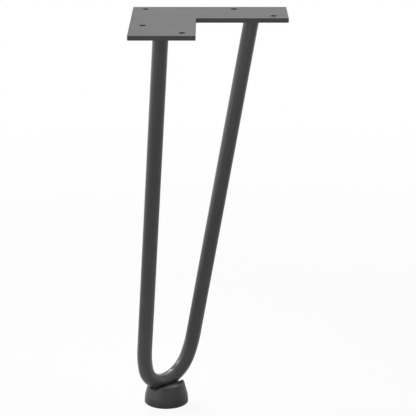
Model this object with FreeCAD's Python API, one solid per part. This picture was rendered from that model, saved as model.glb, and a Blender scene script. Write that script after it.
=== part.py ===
import FreeCAD, Part
import math
import os
from FreeCAD import Vector

# Hairpin table leg, in millimetres, with +Z up towards the table top.
# The origin lies on the plate's table face, at the centre of its corner square.
# The plate's arms run along +X and -Y, and the rod and its foot hang below.

# Whole leg
leg_height = 326.0  # floor to table face

# Screw plate, cut from sheet and powder coated
plate_side = 121.0  # each outer edge, corner to arm end
plate_arm_width = 50.0
plate_thickness = 3.6
plate_corner_radius = 1.0
plate_notch_radius = 2.0
plate_edge_chamfer = 0.3
hole_diameter = 5.0
hole_edge_inset = 10.0  # to the long edge that a hole lies beside
hole_end_inset = 11.5  # to the arm's end, for the hole out there
hole_pitch = 69.5  # corner hole to the next one along each outer edge

# Rod, one bar bent into a hairpin that leans out towards the plate's corner
rod_diameter = 12.0
rod_end_spread = 98.3  # between the centres of its two ends
rod_end_setback = 83.0  # plate's outer corner to midway between the ends
lean_run = 50.0  # how far out the bend stands from below its ends
bend_radius = 25.0  # centreline of the bottom arc
bend_sweep = 142.0  # degrees of the bottom arc
shoulder_radius = 78.0  # centreline of the arcs that lead into the straight legs

# Weld bead round each rod end
weld_leg = 3.0
weld_toe = 0.3  # blunt edge where the bead dies out on the rod
weld_crown = 0.35  # how far the bead's face bulges

# Foot, moulded, with a saddle groove for the bend
foot_web = 13.2  # floor to the rod's underside
foot_height = 17.3
foot_base_diameter = 36.3
foot_band_diameter = 35.3
foot_band_height = 6.3
foot_top_diameter = 29.5
foot_base_chamfer = 0.8
foot_rim_chamfer = 0.4
foot_shift = 1.8  # along the bend, from its lowest point
groove_clearance = 0.15

# Countersunk screw that draws the foot up against the bend
screw_diameter = 5.0
screw_length = 16.0  # with its head
screw_head_diameter = 9.6
screw_head_rim = 0.4
screw_socket_flats = 3.0
screw_socket_depth = 1.8
screw_tip_chamfer = 0.6
screw_recess = 3.0  # floor to the head's face
screw_clearance = 0.25  # round the head and shank, in the foot
tapped_hole_spare = 1.5  # beyond the screw's tip

# How far a cut runs past the faces that it has to clear
overrun = 10.0

# Directions and places that the pieces share
up = Vector(0, 0, 1)
inward = Vector(1, -1, 0).normalize()  # plate's outer corner towards its notch
along_bend = Vector(1, 1, 0).normalize()  # from the first rod end towards the second
outer_corner = Vector(-plate_arm_width / 2, plate_arm_width / 2, 0)
floor_level = -leg_height
rod_radius = rod_diameter / 2
ends_middle = outer_corner + inward * rod_end_setback - up * plate_thickness
bend_bottom = ends_middle - inward * lean_run
bend_bottom.z = floor_level + foot_web + rod_radius
foot_centre = bend_bottom + along_bend * foot_shift
foot_centre.z = floor_level

# The rod's centreline is drawn in the hairpin's own leaning plane: sideways along the
# bend, and down the lean from midway between the ends. Angles turn from straight down.
lean = bend_bottom - ends_middle
lean_length = lean.Length
down_lean = lean / lean_length


def in_hairpin(sideways, down):
    return ends_middle + along_bend * sideways + down_lean * down


def on_arc(centre, radius, angle):
    return centre[0] + radius * math.sin(angle), centre[1] + radius * math.cos(angle)


end_sideways = rod_end_spread / 2
bottom_centre = (0, lean_length - bend_radius)
bottom_angle = math.radians(bend_sweep / 2)
shoulder_centre = on_arc(bottom_centre, bend_radius - shoulder_radius, bottom_angle)
# Each straight leg starts where a line from the rod's end touches its shoulder arc.
end_offset = (end_sideways - shoulder_centre[0], -shoulder_centre[1])
leg_angle = math.atan2(*end_offset) - math.acos(shoulder_radius / math.hypot(*end_offset))


def leg_upward(side):
    # Direction of a straight leg, from the shoulder up to its end.
    return along_bend * (side * math.cos(leg_angle)) - down_lean * math.sin(leg_angle)


def leg_axis(side, below_plate):
    # Where a straight leg's centreline passes, at a depth below the plate.
    upward = leg_upward(side)
    return in_hairpin(side * end_sideways, 0) - upward * (below_plate / upward.z)


def hairpin_half(side):
    # Centreline from above one end down to the middle of the bend.
    shoulder_angles = [leg_angle, (leg_angle + bottom_angle) / 2, bottom_angle]
    shoulder = [on_arc(shoulder_centre, shoulder_radius, angle) for angle in shoulder_angles]
    bottom = [on_arc(bottom_centre, bend_radius, angle) for angle in (bottom_angle / 2, 0)]
    start, middle, turn, quarter, lowest = [in_hairpin(side * x, y) for x, y in shoulder + bottom]
    return [
        Part.LineSegment(leg_axis(side, -overrun), start).toShape(),
        Part.Arc(start, middle, turn).toShape(),
        Part.Arc(turn, quarter, lowest).toShape(),
    ]


def hairpin_rod():
    path = Part.Wire(hairpin_half(-1) + hairpin_half(1)[::-1])
    section = Part.Wire(Part.makeCircle(rod_radius, leg_axis(-1, -overrun), leg_upward(-1)))
    rod = path.makePipe(Part.Face(section))

    # Both ends are cut flat, to stand against the plate's underside.
    reach = rod_end_spread + rod_diameter + 2 * overrun
    above_plate = Part.makeBox(reach, reach, 3 * overrun, ends_middle - Vector(reach / 2, reach / 2, 0))

    tapped_top = floor_level + screw_recess + screw_length + tapped_hole_spare
    below_rod = Vector(foot_centre.x, foot_centre.y, floor_level)
    tapped_hole = Part.makeCylinder(screw_diameter / 2, tapped_top - floor_level, below_rod)
    return rod.cut(above_plate).cut(tapped_hole)


def rod_weld(side, rod):
    # Rings on the plate, halfway and on the rod, joined in two bands that bulge outwards.
    rings = []
    for below, reach in [(0, weld_leg), (weld_leg / 2, weld_leg / 2 + weld_crown), (weld_leg, weld_toe)]:
        rings.append(Part.Wire(Part.makeCircle(rod_radius + reach, leg_axis(side, below), up)))
    return Part.makeLoft(rings, True, True).cut(rod)


def on_plate(from_left, from_back):
    # A place on the table face, measured in from the two outer edges.
    return outer_corner + Vector(from_left, -from_back, 0)


def round_upright(sheet, place, radius):
    edges = [edge for edge in sheet.Edges
             if edge.BoundBox.ZLength > plate_thickness / 2
             and math.hypot(edge.CenterOfMass.x - place.x, edge.CenterOfMass.y - place.y) < 0.01]
    return sheet.makeFillet(radius, edges)


def mounting_plate():
    notch = on_plate(plate_arm_width, plate_arm_width)
    outer_corners = [
        on_plate(0, plate_side),
        on_plate(0, 0),
        on_plate(plate_side, 0),
        on_plate(plate_side, plate_arm_width),
        on_plate(plate_arm_width, plate_side),
    ]
    outline = outer_corners[:4] + [notch] + outer_corners[4:]
    sheet = Part.Face(Part.makePolygon(outline + outline[:1])).extrude(-up * plate_thickness)
    for corner in outer_corners:
        sheet = round_upright(sheet, corner, plate_corner_radius)
    sheet = round_upright(sheet, notch, plate_notch_radius)
    rims = [edge for edge in sheet.Edges if edge.BoundBox.ZLength < plate_thickness / 2]
    sheet = sheet.makeChamfer(plate_edge_chamfer, rims)

    next_hole = hole_edge_inset + hole_pitch
    end_hole = plate_side - hole_end_inset
    beside_notch = plate_arm_width - hole_edge_inset
    hole_places = [
        (hole_edge_inset, hole_edge_inset),
        (next_hole, hole_edge_inset),
        (hole_edge_inset, next_hole),
        (end_hole, beside_notch),
        (beside_notch, end_hole),
    ]
    for from_left, from_back in hole_places:
        top = on_plate(from_left, from_back) + up * overrun
        sheet = sheet.cut(Part.makeCylinder(hole_diameter / 2, plate_thickness + 2 * overrun, top, -up))
    return sheet


def turned(profile):
    # A solid of revolution about the foot's axis, from radii and heights above the floor.
    points = [foot_centre + Vector(radius, 0, height) for radius, height in profile]
    return Part.Face(Part.makePolygon(points + points[:1])).revolve(foot_centre, up, 360)


def circles_at(body, height, radius):
    return [edge for edge in body.Edges
            if abs(edge.BoundBox.ZMax - floor_level - height) < 0.01
            and abs(edge.BoundBox.XLength / 2 - radius) < 0.01]


def screw_seat():
    # Recess, countersink and clearance hole, up through the foot.
    head = screw_head_diameter / 2 + screw_clearance
    shank = screw_diameter / 2 + screw_clearance
    countersink = screw_recess + screw_head_rim - screw_clearance
    return turned([
        (0, -overrun),
        (head, -overrun),
        (head, countersink),
        (shank, countersink + head - shank),
        (shank, foot_height + overrun),
        (0, foot_height + overrun),
    ])


def foot():
    base_radius = foot_base_diameter / 2
    top_radius = foot_top_diameter / 2
    body = turned([
        (0, 0),
        (base_radius, 0),
        (foot_band_diameter / 2, foot_band_height),
        (top_radius, foot_height),
        (0, foot_height),
    ])
    body = body.makeChamfer(foot_base_chamfer, circles_at(body, 0, base_radius))
    body = body.makeChamfer(foot_rim_chamfer, circles_at(body, foot_height, top_radius))

    groove_start = bend_bottom + up * groove_clearance - along_bend * foot_base_diameter
    groove = Part.makeCylinder(rod_radius + groove_clearance, 2 * foot_base_diameter,
                               groove_start, along_bend)
    return body.cut(groove).cut(screw_seat())


def foot_screw():
    head = screw_head_diameter / 2
    shank = screw_diameter / 2
    cone_start = screw_recess + screw_head_rim
    tip = screw_recess + screw_length
    screw = turned([
        (0, screw_recess),
        (head, screw_recess),
        (head, cone_start),
        (shank, cone_start + head - shank),
        (shank, tip - screw_tip_chamfer),
        (shank - screw_tip_chamfer, tip),
        (0, tip),
    ])
    head_face = foot_centre + up * screw_recess
    socket_radius = screw_socket_flats / 2 / math.cos(math.pi / 6)
    corners = []
    for number in range(7):
        turn = math.pi / 3 * number
        corners.append(head_face + Vector(math.cos(turn), math.sin(turn), 0) * socket_radius)
    return screw.cut(Part.Face(Part.makePolygon(corners)).extrude(up * screw_socket_depth))


rod = hairpin_rod()
parts = {
    "mounting_plate": mounting_plate(),
    "hairpin_rod": rod,
    "weld_y_arm": rod_weld(-1, rod),
    "weld_x_arm": rod_weld(1, rod),
    "foot": foot(),
    "foot_screw": foot_screw(),
}

os.makedirs("parts", exist_ok=True)
for name, shape in parts.items():
    shape.exportStep("parts/" + name + ".step")
    print(name, "valid", shape.isValid(), "solids", len(shape.Solids), "volume", round(shape.Volume, 1))
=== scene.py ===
import math

import bmesh
import bpy
import numpy as np
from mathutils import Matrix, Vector
from mathutils.geometry import tessellate_polygon


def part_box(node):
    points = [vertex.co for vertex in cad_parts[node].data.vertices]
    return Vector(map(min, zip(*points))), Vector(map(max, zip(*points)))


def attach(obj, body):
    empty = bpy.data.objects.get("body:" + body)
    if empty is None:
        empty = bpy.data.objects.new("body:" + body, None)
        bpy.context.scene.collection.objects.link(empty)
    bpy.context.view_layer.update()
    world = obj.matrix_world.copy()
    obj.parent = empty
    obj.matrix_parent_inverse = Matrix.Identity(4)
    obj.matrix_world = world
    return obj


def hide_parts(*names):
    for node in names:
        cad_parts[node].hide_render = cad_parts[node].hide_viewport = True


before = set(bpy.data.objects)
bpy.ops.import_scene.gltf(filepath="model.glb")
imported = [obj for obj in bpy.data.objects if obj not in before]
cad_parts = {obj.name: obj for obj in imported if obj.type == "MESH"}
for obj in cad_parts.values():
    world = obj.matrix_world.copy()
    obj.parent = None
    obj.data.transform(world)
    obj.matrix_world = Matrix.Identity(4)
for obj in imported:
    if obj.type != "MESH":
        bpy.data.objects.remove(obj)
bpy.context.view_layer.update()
scene = bpy.context.scene
mm = 0.001
print("frame loaded with", ", ".join(sorted(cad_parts)))

# The leg stands as it is used: table face at height zero, floor below, arms along +X and -Y.
# Lengths in the pieces' dictionaries are millimetres.

legFrame = dict(
    plateCorner=(-25.0, 25.0),  # outer corner of the plate, X and Y
    plateThickness=3.6,
    floorLevel=-326.0,
)
meshing = dict(
    mergeDistance=0.002,  # points nearer than this are one
    sharpFrom=50,  # degrees between two faces, from which their edge stays hard
)
nodeSpacing = 200  # between neighbours in the node editor
noiseRange = (0.3, 0.7)  # where most of a noise's values lie
floorHeight = legFrame["floorLevel"] * mm
acrossBend = np.array([1, 1, 0]) / math.sqrt(2)  # from the first rod end to the second
towardsNotch = np.array([1, -1, 0]) / math.sqrt(2)
plateCorner = np.array([*legFrame["plateCorner"], 0.0])


def newPiece(name, points, faces, materials, standsFor, paintedShadeFaces=()):
    # A closed smooth piece: doubled points merged, faces turned outwards, true corners kept sharp.
    # Its inner faces, where it has them, take the second material; on the plate this is the painted shade
    # inside the holes.
    mesh = bpy.data.meshes.new(name)
    mesh.from_pydata([tuple(point * mm) for point in points], [], faces)
    for index in paintedShadeFaces:
        mesh.polygons[index].material_index = 1
    shape = bmesh.new()
    shape.from_mesh(mesh)
    bmesh.ops.remove_doubles(shape, verts=shape.verts, dist=meshing["mergeDistance"] * mm)
    bmesh.ops.recalc_face_normals(shape, faces=shape.faces)
    shape.to_mesh(mesh)
    shape.free()
    mesh.shade_smooth()
    mesh.set_sharp_from_angle(angle=math.radians(meshing["sharpFrom"]))
    for material in materials:
        mesh.materials.append(material)
    piece = bpy.data.objects.new(name, mesh)
    scene.collection.objects.link(piece)
    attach(piece, "root")
    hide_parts(standsFor)
    print("made", name, len(mesh.vertices), "points")


def ribbon(ringA, ringB, count):
    # Quads between two closed rings, each numbered one after the other from its first point.
    return [(ringA + i, ringA + (i + 1) % count, ringB + (i + 1) % count, ringB + i) for i in range(count)]


def newGroup(name, inputs, outputs):
    group = bpy.data.node_groups.new(name, "ShaderNodeTree")
    for label, kind, value in inputs:
        socket = group.interface.new_socket(name=label, in_out="INPUT", socket_type=kind)
        socket.default_value = value
    for label, kind in outputs:
        group.interface.new_socket(name=label, in_out="OUTPUT", socket_type=kind)
    return group


def addNode(tree, kind, place, **settings):
    node = tree.nodes.new(kind)
    node.location = (place[0] * nodeSpacing, place[1] * nodeSpacing)
    for setting, value in settings.items():
        setattr(node, setting, value)
    return node


def noiseNode(tree, place, vector, scale, detail, roughness):
    noise = addNode(tree, "ShaderNodeTexNoise", place)
    noise.inputs["Detail"].default_value = detail
    noise.inputs["Roughness"].default_value = roughness
    tree.links.new(vector, noise.inputs["Vector"])
    if isinstance(scale, (int, float)):
        noise.inputs["Scale"].default_value = scale
    else:
        tree.links.new(scale, noise.inputs["Scale"])
    return noise.outputs["Fac"]


def mathNode(tree, place, operation, first, second=0.0, third=None, clamp=False):
    maths = addNode(tree, "ShaderNodeMath", place, operation=operation, use_clamp=clamp)
    for index, value in enumerate((first, second, third)):
        if value is None:
            continue
        if isinstance(value, (int, float)):
            maths.inputs[index].default_value = value
        else:
            tree.links.new(value, maths.inputs[index])
    return maths.outputs[0]


def remapNode(tree, place, value, fromLow, fromHigh, toLow, toHigh):
    remap = addNode(tree, "ShaderNodeMapRange", place)
    for index, item in enumerate((value, fromLow, fromHigh, toLow, toHigh)):
        if isinstance(item, (int, float)):
            remap.inputs[index].default_value = item
        else:
            tree.links.new(item, remap.inputs[index])
    return remap.outputs[0]


def mixColours(tree, place, share, first, second):
    mix = addNode(tree, "ShaderNodeMix", place, data_type="RGBA")  # colours are inputs 6 and 7, output 2
    for socket, item in ((mix.inputs[0], share), (mix.inputs[6], first), (mix.inputs[7], second)):
        if isinstance(item, bpy.types.NodeSocket):
            tree.links.new(item, socket)
        else:
            socket.default_value = item
    return mix.outputs[2]


speckField = dict(  # a few pale specks, in patches
    scale=900.0, core=0.05, edge=0.16,
    patchScale=140.0, patchFrom=0.58, patchTo=0.66,
)


def surfaceGrainGroup():
    # Orange peel of a sprayed or moulded skin, a finer grain in it, and slow changes of gloss.
    group = newGroup("surfaceGrain", [
        ("Peel Scale", "NodeSocketFloat", 420.0),
        ("Grain Scale", "NodeSocketFloat", 2600.0),
        ("Grain Share", "NodeSocketFloat", 0.3),
        ("Gloss Patch Scale", "NodeSocketFloat", 38.0),
    ], [
        ("Height", "NodeSocketFloat"),
        ("Patches", "NodeSocketFloat"),
        ("Specks", "NodeSocketFloat"),
    ])
    start = addNode(group, "NodeGroupInput", (-5, 0))
    end = addNode(group, "NodeGroupOutput", (4, 0))
    place = addNode(group, "ShaderNodeTexCoord", (-5, 2)).outputs["Object"]
    peel = noiseNode(group, (-3, 2), place, start.outputs["Peel Scale"], detail=2.0, roughness=0.45)
    grain = noiseNode(group, (-3, 0), place, start.outputs["Grain Scale"], detail=2.0, roughness=0.6)
    patches = noiseNode(group, (-3, -2), place, start.outputs["Gloss Patch Scale"], detail=4.0, roughness=0.6)
    blend = addNode(group, "ShaderNodeMix", (1, 1))  # plain numbers are inputs 2 and 3
    group.links.new(start.outputs["Grain Share"], blend.inputs[0])
    group.links.new(peel, blend.inputs[2])
    group.links.new(grain, blend.inputs[3])
    dots = addNode(group, "ShaderNodeTexVoronoi", (-3, -4))
    dots.inputs["Scale"].default_value = speckField["scale"]
    group.links.new(place, dots.inputs["Vector"])
    specks = remapNode(group, (1, -3), dots.outputs["Distance"],
                       speckField["core"], speckField["edge"], 1.0, 0.0)
    rare = noiseNode(group, (-1, -4), place, speckField["patchScale"], detail=2.0, roughness=0.5)
    rare = remapNode(group, (1, -5), rare, speckField["patchFrom"], speckField["patchTo"], 0.0, 1.0)
    specks = mathNode(group, (3, -3), "MULTIPLY", specks, rare)
    group.links.new(blend.outputs[0], end.inputs["Height"])
    group.links.new(patches, end.inputs["Patches"])
    group.links.new(specks, end.inputs["Specks"])
    return group


dustFilm = dict(
    facing=(0.55, 0.95),  # the upward share of a normal, from where dust starts to where it is full
    cloud=(0.38, 0.72), cloudAmount=(0.35, 1.0),  # a span of noise, and the dust at its two ends
    lintScale=1900.0, lint=(0.5, 0.75), lintAmount=(0.6, 1.3),  # the same, for a finer noise
    dulls=0.6,  # roughness that a full film adds
)


def settledDustGroup():
    # A thin uneven film on what faces up.
    group = newGroup("settledDust", [
        ("Cloud Scale", "NodeSocketFloat", 60.0),
        ("Amount", "NodeSocketFloat", 0.2),
    ], [("Mask", "NodeSocketFloat")])
    start = addNode(group, "NodeGroupInput", (-5, 0))
    end = addNode(group, "NodeGroupOutput", (4, 0))
    place = addNode(group, "ShaderNodeTexCoord", (-5, 2)).outputs["Object"]
    normal = addNode(group, "ShaderNodeNewGeometry", (-5, -2)).outputs["Normal"]
    split = addNode(group, "ShaderNodeSeparateXYZ", (-4, -2))
    group.links.new(normal, split.inputs[0])
    facingUp = remapNode(group, (-2, -2), split.outputs["Z"], *dustFilm["facing"], 0.0, 1.0)
    cloud = noiseNode(group, (-3, 2), place, start.outputs["Cloud Scale"], detail=6.0, roughness=0.65)
    cloud = remapNode(group, (-1, 2), cloud, *dustFilm["cloud"], *dustFilm["cloudAmount"])
    lint = noiseNode(group, (-3, 0), place, dustFilm["lintScale"], detail=3.0, roughness=0.7)
    lint = remapNode(group, (-1, 0), lint, *dustFilm["lint"], *dustFilm["lintAmount"])
    film = mathNode(group, (0, 1), "MULTIPLY", cloud, lint)
    film = mathNode(group, (1, 0), "MULTIPLY", film, facingUp)
    film = mathNode(group, (2, 0), "MULTIPLY", film, start.outputs["Amount"], clamp=True)
    group.links.new(film, end.inputs["Mask"])
    return group


surfaceGrain = surfaceGrainGroup()
settledDust = settledDustGroup()


def placeGroup(tree, group, place, **values):
    node = addNode(tree, "ShaderNodeGroup", place, node_tree=group)
    for label, value in values.items():
        node.inputs[label.replace("_", " ")].default_value = value
    return node


def paintedMaterial(name, look):
    # A painted, coated or moulded skin: one colour with its grain, gloss patches and dust.
    material = bpy.data.materials.new(name)
    material.use_nodes = True
    tree = material.node_tree
    shader = tree.nodes["Principled BSDF"]
    grain = placeGroup(tree, surfaceGrain, (-6, 0), Peel_Scale=look["peelScale"],
                       Grain_Scale=look["grainScale"], Grain_Share=look["grainShare"],
                       Gloss_Patch_Scale=look["patchScale"])
    dust = placeGroup(tree, settledDust, (-6, -3), Cloud_Scale=look["dustScale"],
                      Amount=look["dustAmount"])
    colour = mixColours(tree, (-4, 2), grain.outputs["Patches"], look["darkTone"], look["lightTone"])
    colour = mixColours(tree, (-3, 2), grain.outputs["Specks"], colour, look["speckTone"])
    colour = mixColours(tree, (-2, 2), dust.outputs["Mask"], colour, look["dustTone"])
    tree.links.new(colour, shader.inputs["Base Color"])
    gloss = remapNode(tree, (-4, -1), grain.outputs["Patches"], *noiseRange, *look["roughness"])
    gloss = mathNode(tree, (-3, -1), "MULTIPLY_ADD", dust.outputs["Mask"], dustFilm["dulls"], gloss,
                     clamp=True)
    tree.links.new(gloss, shader.inputs["Roughness"])
    bump = addNode(tree, "ShaderNodeBump", (-2, -3))
    bump.inputs["Strength"].default_value = 1.0
    bump.inputs["Distance"].default_value = look["bumpHeight"] * mm
    tree.links.new(grain.outputs["Height"], bump.inputs["Height"])
    tree.links.new(bump.outputs["Normal"], shader.inputs["Normal"])
    shader.inputs["IOR"].default_value = look["ior"]
    shader.inputs["Specular IOR Level"].default_value = look["specularLevel"]
    shader.inputs["Coat Weight"].default_value = look["glazeWeight"]
    shader.inputs["Coat Roughness"].default_value = look["glazeRoughness"]
    return material


plateLook = dict(
    darkTone=(0.036, 0.036, 0.038, 1), lightTone=(0.049, 0.049, 0.052, 1),
    speckTone=(0.09, 0.09, 0.095, 1), dustTone=(0.35, 0.34, 0.33, 1),
    peelScale=430.0, grainScale=2900.0, grainShare=0.35, patchScale=34.0,
    dustScale=55.0, dustAmount=0.04, roughness=(0.36, 0.42), bumpHeight=0.03,
    ior=1.5, specularLevel=0.5,
    glazeWeight=0.0, glazeRoughness=0.2,  # a smoother film over the skin, where it has flowed out
)
barLook = dict(
    plateLook, darkTone=(0.028, 0.028, 0.030, 1), lightTone=(0.039, 0.039, 0.042, 1),
    peelScale=520.0, roughness=(0.33, 0.39), dustAmount=0.03, glazeWeight=0.3, glazeRoughness=0.15,
)
footLook = dict(
    plateLook, darkTone=(0.031, 0.031, 0.033, 1), lightTone=(0.041, 0.041, 0.043, 1),
    peelScale=900.0, grainScale=3600.0, grainShare=0.7, patchScale=70.0,
    dustAmount=0.05, roughness=(0.34, 0.42), bumpHeight=0.02,
)
# Painted shade: a near-black, dull copy of the coat, put on the hole walls to stand for the shade inside the
# holes.
holeShadeLook = dict(
    plateLook, darkTone=(0.008, 0.008, 0.009, 1), lightTone=(0.013, 0.013, 0.014, 1),
    speckTone=(0.03, 0.03, 0.03, 1), dustAmount=0.0, roughness=(0.55, 0.7), specularLevel=0.2,
)
plateCoat = paintedMaterial("plateCoat", plateLook)
barCoat = paintedMaterial("barCoat", barLook)
footPlastic = paintedMaterial("footPlastic", footLook)
holeShadeCoat = paintedMaterial("holeShadeCoat", holeShadeLook)


zincLook = dict(
    darkTone=(0.50, 0.51, 0.52, 1), lightTone=(0.66, 0.66, 0.65, 1), roughness=(0.24, 0.42),
    cloudScale=420.0, ringScale=900.0, ringWander=1.5, ringStrength=0.5, ringHeight=0.004,
)


def zincMaterial():
    # Bright zinc plating, with turning marks round the screw's axis and clouded gloss.
    material = bpy.data.materials.new("screwZinc")
    material.use_nodes = True
    tree = material.node_tree
    shader = tree.nodes["Principled BSDF"]
    place = addNode(tree, "ShaderNodeTexCoord", (-8, 0)).outputs["Object"]
    lowest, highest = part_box("foot_screw")
    shift = addNode(tree, "ShaderNodeVectorMath", (-7, 0), operation="SUBTRACT")
    shift.inputs[1].default_value = (lowest + highest) / 2
    tree.links.new(place, shift.inputs[0])
    rings = addNode(tree, "ShaderNodeTexWave", (-6, 1), wave_type="RINGS", rings_direction="Z")
    rings.inputs["Scale"].default_value = zincLook["ringScale"]
    rings.inputs["Distortion"].default_value = zincLook["ringWander"]
    tree.links.new(shift.outputs[0], rings.inputs["Vector"])
    clouds = noiseNode(tree, (-6, -1), place, zincLook["cloudScale"], detail=5.0, roughness=0.6)
    colour = mixColours(tree, (-3, 2), clouds, zincLook["darkTone"], zincLook["lightTone"])
    tree.links.new(colour, shader.inputs["Base Color"])
    gloss = remapNode(tree, (-3, -1), clouds, *noiseRange, *zincLook["roughness"])
    tree.links.new(gloss, shader.inputs["Roughness"])
    bump = addNode(tree, "ShaderNodeBump", (-2, -3))
    bump.inputs["Strength"].default_value = zincLook["ringStrength"]
    bump.inputs["Distance"].default_value = zincLook["ringHeight"] * mm
    tree.links.new(rings.outputs["Fac"], bump.inputs["Height"])
    tree.links.new(bump.outputs["Normal"], shader.inputs["Normal"])
    shader.inputs["Metallic"].default_value = 1.0
    return material


screwZinc = zincMaterial()
print("materials made")


plate = dict(
    side=121.0, armWidth=50.0, cornerRadius=1.0, notchRadius=2.0,
    leastRadius=0.01,  # what is left of a corner's radius where the inset uses it up
    rimRadius=0.4,  # the coat flows round every edge of the sheet
    holeRadius=2.5, holeRimRadius=0.3,
    wallFrom=1,  # rows of a hole's rim before its wall, which takes the painted shade
    rimSteps=5, cornerSteps=8, holeSteps=48,
    holes=[  # centres, from the left edge and from the back edge
        (10.0, 10.0), (79.5, 10.0), (10.0, 79.5), (109.5, 40.0), (40.0, 109.5),
    ],
    supportInset=0.35,  # a row of narrow faces keeps the flats' shading flat
)


def plateOutline(inset):
    # Inset outline in plate measures: from the left edge, and from the back edge.
    side, arm = plate["side"], plate["armWidth"]
    convex, concave = plate["cornerRadius"], plate["notchRadius"]
    corners = [  # arc centre, radius, start angle, and sweep, which is negative in the notch
        ((convex, convex), convex, 180, 90),
        ((side - convex, convex), convex, 270, 90),
        ((side - convex, arm - convex), convex, 0, 90),
        ((arm + concave, arm + concave), concave, 270, -90),
        ((arm - convex, side - convex), convex, 0, 90),
        ((convex, side - convex), convex, 90, 90),
    ]
    points = []
    for centre, radius, start, sweep in corners:
        reach = max(radius - inset, plate["leastRadius"]) if sweep > 0 else radius + inset
        for step in range(plate["cornerSteps"] + 1):
            angle = math.radians(start + sweep * step / plate["cornerSteps"])
            points.append((centre[0] + reach * math.cos(angle), centre[1] + reach * math.sin(angle)))
    return points


def holeOutline(centre, inset):
    radius = plate["holeRadius"] + inset
    turns = [2 * math.pi * step / plate["holeSteps"] for step in range(plate["holeSteps"])]
    return [(centre[0] + radius * math.cos(turn), centre[1] + radius * math.sin(turn)) for turn in turns]


def rimLevels(rim):
    # Inset and depth of each row of points, from the top flat round the rims to the lower flat.
    thickness = legFrame["plateThickness"]
    quarter = [math.pi / 2 * step / plate["rimSteps"] for step in range(plate["rimSteps"] + 1)]
    levels = [(rim + plate["supportInset"], 0.0)]
    levels += [(rim - rim * math.sin(turn), rim - rim * math.cos(turn)) for turn in quarter]
    levels += [(rim - rim * math.cos(turn), thickness - rim + rim * math.sin(turn)) for turn in quarter]
    return levels + [(rim + plate["supportInset"], thickness)]


def makePlate():
    loops = [(plateOutline, rimLevels(plate["rimRadius"]))]
    for centre in plate["holes"]:
        loops.append((lambda inset, centre=centre: holeOutline(centre, inset),
                      rimLevels(plate["holeRimRadius"])))
    points, faces, paintedShadeFaces, topLoops, lowLoops = [], [], [], [], []
    for outline, levels in loops:
        first = len(points)
        for inset, depth in levels:
            points += [(x, y, depth) for x, y in outline(inset)]
        count = (len(points) - first) // len(levels)
        bands = len(levels) - 1
        for level in range(bands):
            # The hole walls take the second material, the painted shade.
            if outline != plateOutline and plate["wallFrom"] <= level < bands - plate["wallFrom"]:
                paintedShadeFaces += range(len(faces), len(faces) + count)
            faces += ribbon(first + level * count, first + (level + 1) * count, count)
        topLoops.append(list(range(first, first + count)))
        lowLoops.append(list(range(len(points) - count, len(points))))
    for flat in (topLoops, lowLoops):
        order = [index for loop in flat for index in loop]
        triangles = tessellate_polygon([[Vector(points[index]) for index in loop] for loop in flat])
        faces += [tuple(order[corner] for corner in triangle) for triangle in triangles]
    placed = [plateCorner + np.array([x, -y, -depth]) for x, y, depth in points]
    newPiece("screwPlate", placed, faces, [plateCoat, holeShadeCoat], "mounting_plate",
             paintedShadeFaces)


makePlate()


bar = dict(
    radius=6.0,
    endSpread=98.3,  # between the middles of the two ends
    endSetback=83.0,  # from the plate's outer corner to midway between the ends
    leanRun=50.0,  # how much nearer that corner the bend stands
    bendRadius=25.0, bendSweep=142.0, shoulderRadius=78.0,
    aboveFloor=13.2,  # from the floor to the bar's underside
    sides=64, legSteps=28, shoulderSteps=24, bendSteps=64,
)
endsMiddle = plateCorner + towardsNotch * bar["endSetback"]
endsMiddle[2] = -legFrame["plateThickness"]
bendBottom = endsMiddle - towardsNotch * bar["leanRun"]
bendBottom[2] = legFrame["floorLevel"] + bar["aboveFloor"] + bar["radius"]
leanLength = np.linalg.norm(bendBottom - endsMiddle)
downLean = (bendBottom - endsMiddle) / leanLength
offPlane = np.cross(acrossBend, downLean)


def inHairpin(across, down):
    return endsMiddle + acrossBend * across + downLean * down


def onArc(centre, radius, angle):
    return centre[0] + radius * math.sin(angle), centre[1] + radius * math.cos(angle)


bendCentre = (0, leanLength - bar["bendRadius"])
bendAngle = math.radians(bar["bendSweep"] / 2)
shoulderCentre = onArc(bendCentre, bar["bendRadius"] - bar["shoulderRadius"], bendAngle)
endOffset = (bar["endSpread"] / 2 - shoulderCentre[0], -shoulderCentre[1])
legAngle = math.atan2(*endOffset) - math.acos(bar["shoulderRadius"] / math.hypot(*endOffset))


def barCentreline():
    # Places across and down the hairpin, with the direction that each heads in.
    half = []
    top = onArc(shoulderCentre, bar["shoulderRadius"], legAngle)
    for step in range(bar["legSteps"]):
        share = step / bar["legSteps"]
        end = (bar["endSpread"] / 2, 0)
        half.append((end[0] + (top[0] - end[0]) * share, end[1] + (top[1] - end[1]) * share, legAngle))
    for step in range(bar["shoulderSteps"]):
        angle = legAngle + (bendAngle - legAngle) * step / bar["shoulderSteps"]
        half.append((*onArc(shoulderCentre, bar["shoulderRadius"], angle), angle))
    bend = []
    for step in range(bar["bendSteps"] + 1):
        angle = bendAngle - 2 * bendAngle * step / bar["bendSteps"]
        bend.append((*onArc(bendCentre, bar["bendRadius"], angle), angle))
    return half + bend + [(-x, y, -angle) for x, y, angle in reversed(half)]


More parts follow.
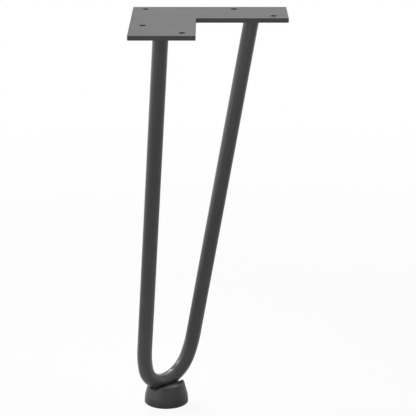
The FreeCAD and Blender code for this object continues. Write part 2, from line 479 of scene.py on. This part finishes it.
def makeBar():
    points, faces = [], []
    line = barCentreline()
    turns = [2 * math.pi * step / bar["sides"] for step in range(bar["sides"])]
    for x, y, angle in line:
        outward = acrossBend * math.sin(angle) + downLean * math.cos(angle)
        for turn in turns:
            ray = outward * math.cos(turn) + offPlane * math.sin(turn)
            points.append(inHairpin(x, y) + ray * bar["radius"])
    # The two ends are cut flat, along each leg, to stand under the plate.
    for first, angle in ((0, legAngle), (len(points) - bar["sides"], -legAngle)):
        along = acrossBend * math.cos(angle) - downLean * math.sin(angle)
        for index in range(first, first + bar["sides"]):
            point = points[index]
            points[index] = point + along * ((-legFrame["plateThickness"] - point[2]) / along[2])
    for ring in range(len(line) - 1):
        faces += ribbon(ring * bar["sides"], (ring + 1) * bar["sides"], bar["sides"])
    faces.append(tuple(range(bar["sides"])))
    faces.append(tuple(range(len(points) - bar["sides"], len(points))))
    newPiece("bentBar", points, faces, [barCoat], "hairpin_rod")


makeBar()


weld = dict(
    leg=3.0,  # along the plate, and along the bar
    toe=0.25,  # how far the bead's lower end stands off the bar
    crown=0.42, bulgeShare=0.707,  # the bulge goes as far out as down
    ripples=30, rippleHeight=0.11, rippleWander=0.25,
    rippleBow=0.55,  # how far each ripple's arc trails behind
    rippleRise=0.12, rippleFade=1.5,  # a short rise, then a hollow fall
    waves=5, firstWave=2, wander=0.12,  # slow changes of the bead's size
    collarDrop=0.4, collarDepth=0.1,  # its inner end, below the bead and under the bar's skin
    steps=360, rows=14,
)


def makeWeld(side, name, node, seed):
    random = np.random.default_rng(seed)
    upward = acrossBend * side * math.cos(legAngle) - downLean * math.sin(legAngle)
    end = inHairpin(side * bar["endSpread"] / 2, 0)
    spacing = np.cumsum(1 + weld["rippleWander"] * random.uniform(-1, 1, weld["ripples"]))
    spacing = np.concatenate([[0], spacing / spacing[-1]]) * weld["ripples"]
    waves = random.uniform(0, 2 * math.pi, weld["waves"])
    points, faces = [], []
    for row in range(weld["rows"] + 1):
        share = row / weld["rows"]  # from the plate down to the bar
        swell = math.sin(math.pi * share)
        for step in range(weld["steps"]):
            turn = 2 * math.pi * step / weld["steps"]
            drift = sum(math.sin((order + weld["firstWave"]) * turn + wave)
                        for order, wave in enumerate(waves)) / weld["waves"]
            size = 1 + weld["wander"] * drift
            phase = (turn / (2 * math.pi) - weld["rippleBow"] * swell / weld["ripples"]) % 1.0
            ripple = np.interp(phase * weld["ripples"], spacing, np.arange(weld["ripples"] + 1)) % 1.0
            ridge = (1 - ripple) ** weld["rippleFade"] * min(1.0, ripple / weld["rippleRise"])
            ridge = ridge * weld["rippleHeight"] * swell
            bulge = weld["crown"] * swell + ridge
            reach = weld["toe"] + (weld["leg"] * size - weld["toe"]) * (1 - share)
            reach = reach + bulge * weld["bulgeShare"]
            below = weld["leg"] * size * share + bulge * weld["bulgeShare"]
            centre = end - upward * (below / upward[2])
            ray = np.array([math.cos(turn), math.sin(turn), 0])
            points.append(centre + ray * (bar["radius"] + reach))
    for row in range(weld["rows"]):
        faces += ribbon(row * weld["steps"], (row + 1) * weld["steps"], weld["steps"])
    # Closed by a collar inside the bar's skin.
    for below in (weld["leg"] + weld["collarDrop"], 0.0):
        first = len(points)
        centre = end - upward * (below / upward[2])
        for step in range(weld["steps"]):
            turn = 2 * math.pi * step / weld["steps"]
            ray = np.array([math.cos(turn), math.sin(turn), 0])
            points.append(centre + ray * (bar["radius"] - weld["collarDepth"]))
        faces += ribbon(first - weld["steps"], first, weld["steps"])
    faces += ribbon(len(points) - weld["steps"], 0, weld["steps"])
    newPiece(name, points, faces, [barCoat], node)


makeWeld(-1, "weldBeadLeft", "weld_y_arm", seed=11)
makeWeld(1, "weldBeadRight", "weld_x_arm", seed=29)


foot = dict(
    baseRadius=18.15, bandRadius=17.65, bandHeight=6.3, topRadius=14.75, height=17.3,
    shift=1.8,  # along the bend, from its lowest point
    grooveRadius=6.15, grooveLift=0.15,
    recess=3.0, headRadius=5.05, seatRim=0.15, shankRadius=2.75,  # round the screw
    baseRound=1.1, rimRound=0.6, grooveRound=0.55, boreRound=0.25,
    turns=288, profileSteps=(46, 40, 24, 30, 12, 10, 22),
    pulls=14, pullShare=0.8, leastSlope=0.2, probe=0.01,  # how the points are drawn onto the skin
)
footCentre = bendBottom + acrossBend * foot["shift"]
footCentre[2] = legFrame["floorLevel"]
grooveHeight = bar["aboveFloor"] + bar["radius"] + foot["grooveLift"]


def roundedMeet(first, second, radius):
    # Both conditions hold, and their edge is rounded off by the radius.
    over = np.sqrt(np.maximum(radius + first, 0) ** 2 + np.maximum(radius + second, 0) ** 2)
    return np.minimum(-radius, np.maximum(first, second)) + over


def slopeDistance(reach, height, low, high):
    # Distance outside the straight side between two (radius, height) places.
    run = (high[0] - low[0], high[1] - low[1])
    length = math.hypot(*run)
    return ((reach - low[0]) * run[1] - (height - low[1]) * run[0]) / length


def footDistance(points):
    # Below zero inside the foot's plastic. Points are millimetres from the foot's centre on the floor.
    reach = np.hypot(points[:, 0], points[:, 1])
    height = points[:, 2]
    band = slopeDistance(reach, height, (foot["baseRadius"], 0), (foot["bandRadius"], foot["bandHeight"]))
    cone = slopeDistance(reach, height, (foot["bandRadius"], foot["bandHeight"]),
                         (foot["topRadius"], foot["height"]))
    body = np.maximum(band, cone)
    body = roundedMeet(body, -height, foot["baseRound"])
    body = roundedMeet(body, height - foot["height"], foot["rimRound"])
    sideways = points @ np.array([towardsNotch[0], towardsNotch[1], 0])
    groove = foot["grooveRadius"] - np.hypot(sideways, height - grooveHeight)
    body = roundedMeet(body, groove, foot["grooveRound"])
    head = np.maximum(reach - foot["headRadius"], height - foot["recess"] - foot["seatRim"])
    slope = np.maximum((reach - foot["shankRadius"] + height - foot["recess"] - foot["seatRim"]
                        - foot["headRadius"] + foot["shankRadius"]) * math.sqrt(0.5),
                       reach - foot["headRadius"])
    bore = np.minimum(np.minimum(head, slope), reach - foot["shankRadius"])
    return roundedMeet(body, -bore, foot["boreRound"])


def footProfile():
    # Radius and height, from the bore's top out over the foot, down, under and back up the bore.
    seatHeight = foot["recess"] + foot["seatRim"]
    stops = [
        (foot["shankRadius"], foot["height"]), (foot["topRadius"], foot["height"]),
        (foot["bandRadius"], foot["bandHeight"]), (foot["baseRadius"], 0),
        (foot["headRadius"], 0), (foot["headRadius"], seatHeight),
        (foot["shankRadius"], seatHeight + foot["headRadius"] - foot["shankRadius"]),
        (foot["shankRadius"], foot["height"]),
    ]
    profile = []
    for start, end, steps in zip(stops, stops[1:], foot["profileSteps"]):
        for step in range(steps):
            share = step / steps
            profile.append((start[0] + (end[0] - start[0]) * share, start[1] + (end[1] - start[1]) * share))
    return profile


def makeFoot():
    profile = footProfile()
    turns = np.arange(foot["turns"]) * 2 * math.pi / foot["turns"]
    rings = [np.stack([reach * np.cos(turns), reach * np.sin(turns), np.full(len(turns), height)], 1)
             for reach, height in profile]
    points = np.concatenate(rings)
    # Lower what stands in the groove onto it, then draw every point onto the rounded skin.
    sideways = points @ np.array([towardsNotch[0], towardsNotch[1], 0])
    inGroove = np.abs(sideways) < foot["grooveRadius"]
    depth = np.sqrt(np.maximum(foot["grooveRadius"] ** 2 - sideways ** 2, 0))
    points[:, 2] = np.where(inGroove, np.minimum(points[:, 2], grooveHeight - depth), points[:, 2])
    for _ in range(foot["pulls"]):
        value = footDistance(points)
        slope = np.stack([(footDistance(points + step) - footDistance(points - step)) / (2 * foot["probe"])
                          for step in np.eye(3) * foot["probe"]], 1)
        size = np.maximum((slope ** 2).sum(1), foot["leastSlope"])
        points -= slope * (foot["pullShare"] * value / size)[:, None]
    faces = []
    for ring in range(len(profile)):
        following = (ring + 1) % len(profile)
        faces += ribbon(ring * foot["turns"], following * foot["turns"], foot["turns"])
    newPiece("saddleFoot", points + footCentre, faces, [footPlastic], "foot")


makeFoot()

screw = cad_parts["foot_screw"]
screw.data.materials.clear()
screw.data.materials.append(screwZinc)


studio = dict(
    skyForLight=0.3,  # strength of the surroundings as a light
    floorRadius=1.0, floorSides=96, floorAlbedo=0.8,
    floorGlowSeen=0.92,  # how far the camera sees the floor as plain white
    floorGlowMirrored=0.02,  # the same, in what the coat mirrors
    fadeFrom=0.3, fadeTo=1.0,  # further out the floor turns into the white surroundings
    screenCentre=(0.02, -0.02, -0.17), screenRadius=1.5, screenFacet=7.5,  # facet in degrees
)


def makeWorld():
    world = bpy.data.worlds.new("paleStudio")
    scene.world = world
    world.use_nodes = True
    tree = world.node_tree
    tree.nodes.clear()
    rays = addNode(tree, "ShaderNodeLightPath", (-4, 0))
    seen = mathNode(tree, (-3, 0), "ADD", rays.outputs["Is Camera Ray"], rays.outputs["Is Glossy Ray"])
    seen = mathNode(tree, (-2, 0), "ADD", seen, rays.outputs["Is Transmission Ray"], clamp=True)
    strength = remapNode(tree, (-1, 0), seen, 0.0, 1.0, studio["skyForLight"], 1.0)
    background = addNode(tree, "ShaderNodeBackground", (1, 0))
    background.inputs["Color"].default_value = (1, 1, 1, 1)
    tree.links.new(strength, background.inputs["Strength"])
    output = addNode(tree, "ShaderNodeOutputWorld", (2, 0))
    tree.links.new(background.outputs[0], output.inputs[0])


def makeFloor():
    sides = studio["floorSides"]
    turns = [2 * math.pi * step / sides for step in range(sides)]
    rim = [(studio["floorRadius"] * math.cos(turn), studio["floorRadius"] * math.sin(turn), floorHeight)
           for turn in turns]
    mesh = bpy.data.meshes.new("studioFloor")
    mesh.from_pydata(rim, [], [tuple(range(sides))])
    floor = bpy.data.objects.new("studioFloor", mesh)
    scene.collection.objects.link(floor)
    material = bpy.data.materials.new("paleFloor")
    material.use_nodes = True
    tree = material.node_tree
    tree.nodes.clear()
    matt = addNode(tree, "ShaderNodeBsdfDiffuse", (-2, 1))
    matt.inputs["Color"].default_value = (studio["floorAlbedo"],) * 3 + (1,)
    glow = addNode(tree, "ShaderNodeEmission", (-2, -1))
    glow.inputs["Strength"].default_value = 1.0
    rays = addNode(tree, "ShaderNodeLightPath", (-6, 0))
    mirrored = rays.outputs["Is Glossy Ray"]
    seen = mathNode(tree, (-5, 1), "ADD", rays.outputs["Is Camera Ray"], rays.outputs["Is Transmission Ray"])
    farShare = mathNode(tree, (-4, 1), "ADD", seen, mirrored, clamp=True)
    nearShare = mathNode(tree, (-4, 0), "MULTIPLY", seen, studio["floorGlowSeen"])
    nearShare = mathNode(tree, (-3, 0), "MULTIPLY_ADD", mirrored, studio["floorGlowMirrored"], nearShare)
    place = addNode(tree, "ShaderNodeTexCoord", (-8, -2)).outputs["Object"]
    flat = addNode(tree, "ShaderNodeVectorMath", (-7, -2), operation="MULTIPLY")
    flat.inputs[1].default_value = (1, 1, 0)
    tree.links.new(place, flat.inputs[0])
    reach = addNode(tree, "ShaderNodeVectorMath", (-6, -2), operation="LENGTH")
    tree.links.new(flat.outputs[0], reach.inputs[0])
    fade = remapNode(tree, (-5, -2), reach.outputs["Value"], studio["fadeFrom"], studio["fadeTo"], 0.0, 1.0)
    share = remapNode(tree, (-2, 0), fade, 0.0, 1.0, nearShare, farShare)
    mix = addNode(tree, "ShaderNodeMixShader", (0, 0))
    output = addNode(tree, "ShaderNodeOutputMaterial", (1, 0))
    tree.links.new(share, mix.inputs[0])
    tree.links.new(matt.outputs[0], mix.inputs[1])
    tree.links.new(glow.outputs[0], mix.inputs[2])
    tree.links.new(mix.outputs[0], output.inputs["Surface"])
    mesh.materials.append(material)


screens = [  # name, azimuth from and to with 0 behind the camera and 90 to its right, height angles, tone
    ("frontLowScreen", -45, 45, -18, 2, 1.4),
    ("frontRightScreen", -15, 45, 2, 50, 0.5),
    ("rightScreen", 45, 105, -18, 14, 0.56),
    ("rightBackScreen", 105, 165, -18, 50, 1.2),
    ("backScreen", 165, 225, 14, 50, 0.2),
    ("leftScreen", 225, 285, -18, 50, 1.4),
    ("leftFrontScreen", 285, 315, -18, 50, 1.75),
]


def screenAngles(low, high):
    facets = round((high - low) / studio["screenFacet"])
    return np.radians(np.linspace(low, high, facets + 1))


def makeScreens():
    # Only the gloss sees them: the paler and darker walls round the table, as in a light tent.
    for name, fromTurn, toTurn, fromRise, toRise, tone in screens:
        turns = screenAngles(fromTurn, toTurn)
        rises = screenAngles(fromRise, toRise)
        points, faces = [], []
        for turn in turns:
            for rise in rises:
                level = math.cos(rise)
                ray = Vector((math.sin(turn) * level, -math.cos(turn) * level, math.sin(rise)))
                points.append(Vector(studio["screenCentre"]) + ray * studio["screenRadius"])
        for column in range(len(turns) - 1):
            for row in range(len(rises) - 1):
                first = column * len(rises) + row
                faces.append((first, first + len(rises), first + len(rises) + 1, first + 1))
        mesh = bpy.data.meshes.new(name)
        mesh.from_pydata(points, [], faces)
        screen = bpy.data.objects.new(name, mesh)
        scene.collection.objects.link(screen)
        material = bpy.data.materials.new(name)
        material.use_nodes = True
        tree = material.node_tree
        tree.nodes.clear()
        glow = addNode(tree, "ShaderNodeEmission", (0, 0))
        glow.inputs["Strength"].default_value = tone
        output = addNode(tree, "ShaderNodeOutputMaterial", (1, 0))
        tree.links.new(glow.outputs[0], output.inputs["Surface"])
        mesh.materials.append(material)
        screen.visible_camera = False
        screen.visible_diffuse = False
        screen.visible_transmission = False
        screen.visible_shadow = False


lamps = [  # name, place, aimed at, size, power, beam in degrees
    ("frontSoftbox", (0.092, -1.082, 0.703), (0.0, 0.0, -0.17), 0.54, 0.9, 180),
    ("overheadSoftbox", (0.1, 0.2, 1.2), (0.03, -0.03, -0.12), 1.0, 3.5, 180),
    ("backSoftbox", (0.12, 1.025, 0.75), (0.0, 0.0, -0.17), 0.6, 3.1, 180),
    ("backLamp", (-0.287, 0.811, 0.615), (0.0, 0.0, -0.3), 0.18, 0.15, 26),  # gridded, for the bend
    ("leftLamp", (-0.957, 0.323, 0.436), (0.0, 0.0, -0.3), 0.18, 5.0, 180),
]


def makeLamps():
    for name, place, target, size, power, beam in lamps:
        lamp = bpy.data.lights.new(name, "AREA")
        lamp.shape = "SQUARE"
        lamp.size = size
        lamp.energy = power
        lamp.spread = math.radians(beam)
        lampObject = bpy.data.objects.new(name, lamp)
        lampObject.location = place
        lampObject.rotation_euler = (Vector(target) - Vector(place)).to_track_quat("-Z", "Y").to_euler()
        scene.collection.objects.link(lampObject)


makeWorld()
makeFloor()
makeScreens()
makeLamps()

viewpoint = dict(
    place=(0.034077, -1.41306, 0.254315), tiltDown=0.2842109,  # in radians
    lens=158.863, sensorWidth=36.0, nearest=0.05,
)
camera = bpy.data.cameras.new("photoView")
camera.lens = viewpoint["lens"]
camera.sensor_width = viewpoint["sensorWidth"]
camera.clip_start = viewpoint["nearest"]
cameraObject = bpy.data.objects.new("photoView", camera)
cameraObject.location = viewpoint["place"]
cameraObject.rotation_euler = (math.pi / 2 - viewpoint["tiltDown"], 0, 0)
scene.collection.objects.link(cameraObject)
scene.camera = cameraObject
scene.view_settings.view_transform = "Standard"
print("studio and camera placed")
